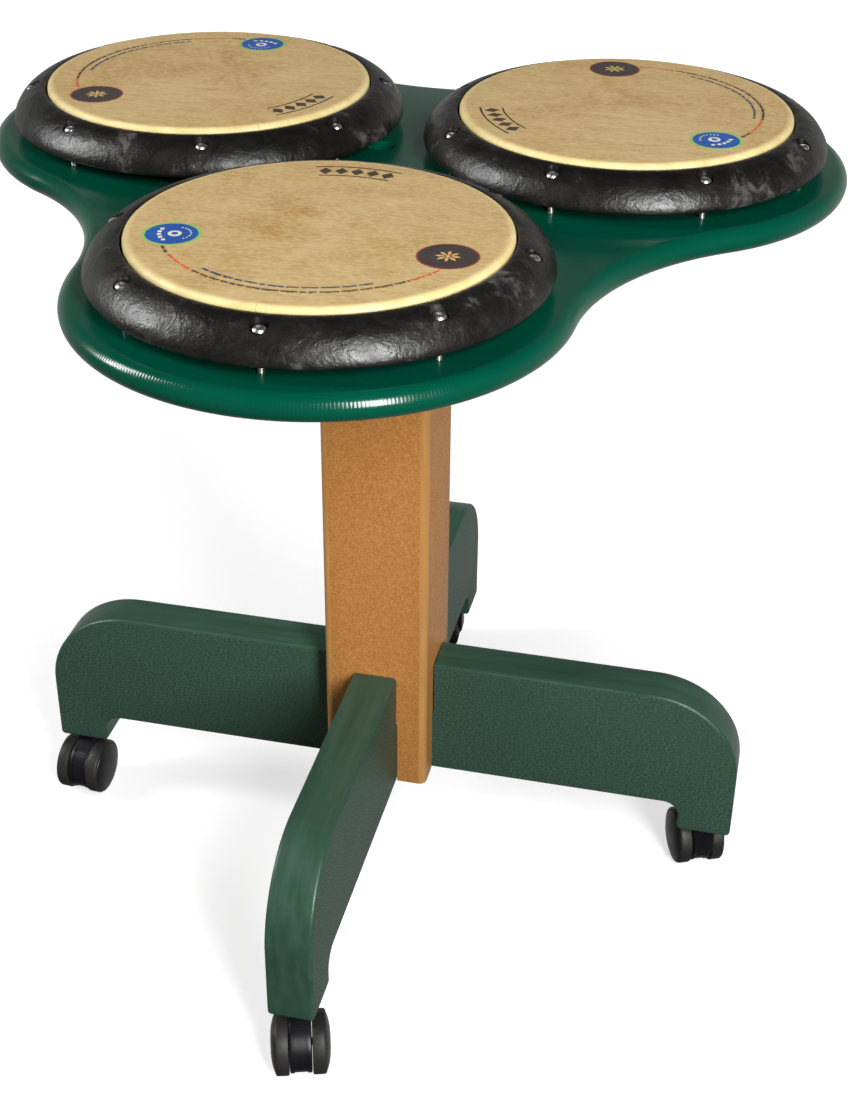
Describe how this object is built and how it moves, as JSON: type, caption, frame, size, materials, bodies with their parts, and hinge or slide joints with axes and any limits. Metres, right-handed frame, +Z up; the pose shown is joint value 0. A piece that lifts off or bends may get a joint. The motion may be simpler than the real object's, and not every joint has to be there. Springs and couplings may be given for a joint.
{
  "type": "drum table",
  "caption": "Free-standing play table: shallow tunable hand drums on a lobed plastic top, carried by a square post on crossed plank legs with swivel casters.",
  "frame": {"origin": "on the floor under the middle of the object's bounding box", "axes": "+Z up; -Y towards the front lobe and its drum; +X to the right along the left-right leg"},
  "size_m": [0.6744, 0.673, 0.6553],
  "materials": {
    "green_sheet": "satin sheet with fine tooling marks round its edge",
    "green_lumber": "moulded lumber with a leathery stipple",
    "tan_lumber": "moulded lumber with a fine grain",
    "hoop_plastic": "glossy black with cloudy grey marbling",
    "head_film": "skin-look film, mottled, with a glossy collar",
    "shell_plastic": "plain black",
    "stainless": "bright stainless fasteners",
    "zinc_steel": "zinc-plated steel",
    "caster_nylon": "black nylon",
    "caster_tread": "dark grey tread on a black hub"
  },
  "bodies": {
    "root": {"tabletop": "green_sheet", "drumhead_1": "head_film", "drum_shell_1": "shell_plastic", "hoop_1": "hoop_plastic", "drumhead_2": "head_film", "drum_shell_2": "shell_plastic", "hoop_2": "hoop_plastic", "drumhead_3": "head_film", "drum_shell_3": "shell_plastic", "hoop_3": "hoop_plastic", "hoop_screw_1_1": "stainless", "hoop_screw_1_2": "stainless", "hoop_screw_1_3": "stainless", "hoop_screw_1_4": "stainless", "hoop_screw_1_5": "stainless", "hoop_screw_1_6": "stainless", "hoop_screw_1_7": "stainless", "hoop_screw_1_8": "stainless", "hoop_screw_2_1": "stainless", "hoop_screw_2_2": "stainless", "hoop_screw_2_3": "stainless", "hoop_screw_2_4": "stainless", "hoop_screw_2_5": "stainless", "hoop_screw_2_6": "stainless", "hoop_screw_2_7": "stainless", "hoop_screw_2_8": "stainless", "hoop_screw_3_1": "stainless", "hoop_screw_3_2": "stainless", "hoop_screw_3_3": "stainless", "hoop_screw_3_4": "stainless", "hoop_screw_3_5": "stainless", "hoop_screw_3_6": "stainless", "hoop_screw_3_7": "stainless", "hoop_screw_3_8": "stainless", "post": "tan_lumber", "mounting_plate": "zinc_steel", "plate_screw_1": "zinc_steel", "plate_screw_2": "zinc_steel", "plate_screw_3": "zinc_steel", "plate_screw_4": "zinc_steel", "plate_bolt": "zinc_steel", "leg_left_right": "green_lumber", "leg_front_back": "green_lumber", "leg_bolt": "zinc_steel"},
    "caster_front": {"caster_front_body": "caster_nylon", "caster_front_axle": "zinc_steel"},
    "caster_right": {"caster_right_body": "caster_nylon", "caster_right_axle": "zinc_steel"},
    "caster_back": {"caster_back_body": "caster_nylon", "caster_back_axle": "zinc_steel"},
    "caster_left": {"caster_left_body": "caster_nylon", "caster_left_axle": "zinc_steel"},
    "front_wheel_a": {"caster_front_wheel_a": "caster_tread"},
    "front_wheel_b": {"caster_front_wheel_b": "caster_tread"},
    "right_wheel_a": {"caster_right_wheel_a": "caster_tread"},
    "right_wheel_b": {"caster_right_wheel_b": "caster_tread"},
    "back_wheel_a": {"caster_back_wheel_a": "caster_tread"},
    "back_wheel_b": {"caster_back_wheel_b": "caster_tread"},
    "left_wheel_a": {"caster_left_wheel_a": "caster_tread"},
    "left_wheel_b": {"caster_left_wheel_b": "caster_tread"}
  },
  "joints": [
    {"name": "front_swivel", "type": "hinge", "parent": "root", "child": "caster_front", "pos_m": [0.00208, -0.25954, 0.06], "axis": [0, 0, 1], "continuous": true},
    {"name": "right_swivel", "type": "hinge", "parent": "root", "child": "caster_right", "pos_m": [0.28808, 0.02646, 0.06], "axis": [0, 0, 1], "continuous": true},
    {"name": "back_swivel", "type": "hinge", "parent": "root", "child": "caster_back", "pos_m": [0.00208, 0.31246, 0.06], "axis": [0, 0, 1], "continuous": true},
    {"name": "left_swivel", "type": "hinge", "parent": "root", "child": "caster_left", "pos_m": [-0.28392, 0.02646, 0.06], "axis": [0, 0, 1], "continuous": true},
    {"name": "front_wheel_a_spin", "type": "hinge", "parent": "caster_front", "child": "front_wheel_a", "pos_m": [0.0074, -0.27653, 0.025], "axis": [-0.9542, -0.299, 0], "continuous": true},
    {"name": "front_wheel_b_spin", "type": "hinge", "parent": "caster_front", "child": "front_wheel_b", "pos_m": [0.0074, -0.27653, 0.025], "axis": [-0.9542, -0.299, 0], "continuous": true},
    {"name": "right_wheel_a_spin", "type": "hinge", "parent": "caster_right", "child": "right_wheel_a", "pos_m": [0.28118, 0.04287, 0.025], "axis": [0.9219, 0.3875, 0], "continuous": true},
    {"name": "right_wheel_b_spin", "type": "hinge", "parent": "caster_right", "child": "right_wheel_b", "pos_m": [0.28118, 0.04287, 0.025], "axis": [0.9219, 0.3875, 0], "continuous": true},
    {"name": "back_wheel_a_spin", "type": "hinge", "parent": "caster_back", "child": "back_wheel_a", "pos_m": [-0.0157, 0.31153, 0.025], "axis": [-0.0523, 0.9986, 0], "continuous": true},
    {"name": "back_wheel_b_spin", "type": "hinge", "parent": "caster_back", "child": "back_wheel_b", "pos_m": [-0.0157, 0.31153, 0.025], "axis": [-0.0523, 0.9986, 0], "continuous": true},
    {"name": "left_wheel_a_spin", "type": "hinge", "parent": "caster_left", "child": "left_wheel_a", "pos_m": [-0.2851, 0.0087, 0.025], "axis": [-0.9978, 0.0663, 0], "continuous": true},
    {"name": "left_wheel_b_spin", "type": "hinge", "parent": "caster_left", "child": "left_wheel_b", "pos_m": [-0.2851, 0.0087, 0.025], "axis": [-0.9978, 0.0663, 0], "continuous": true}
  ]
}
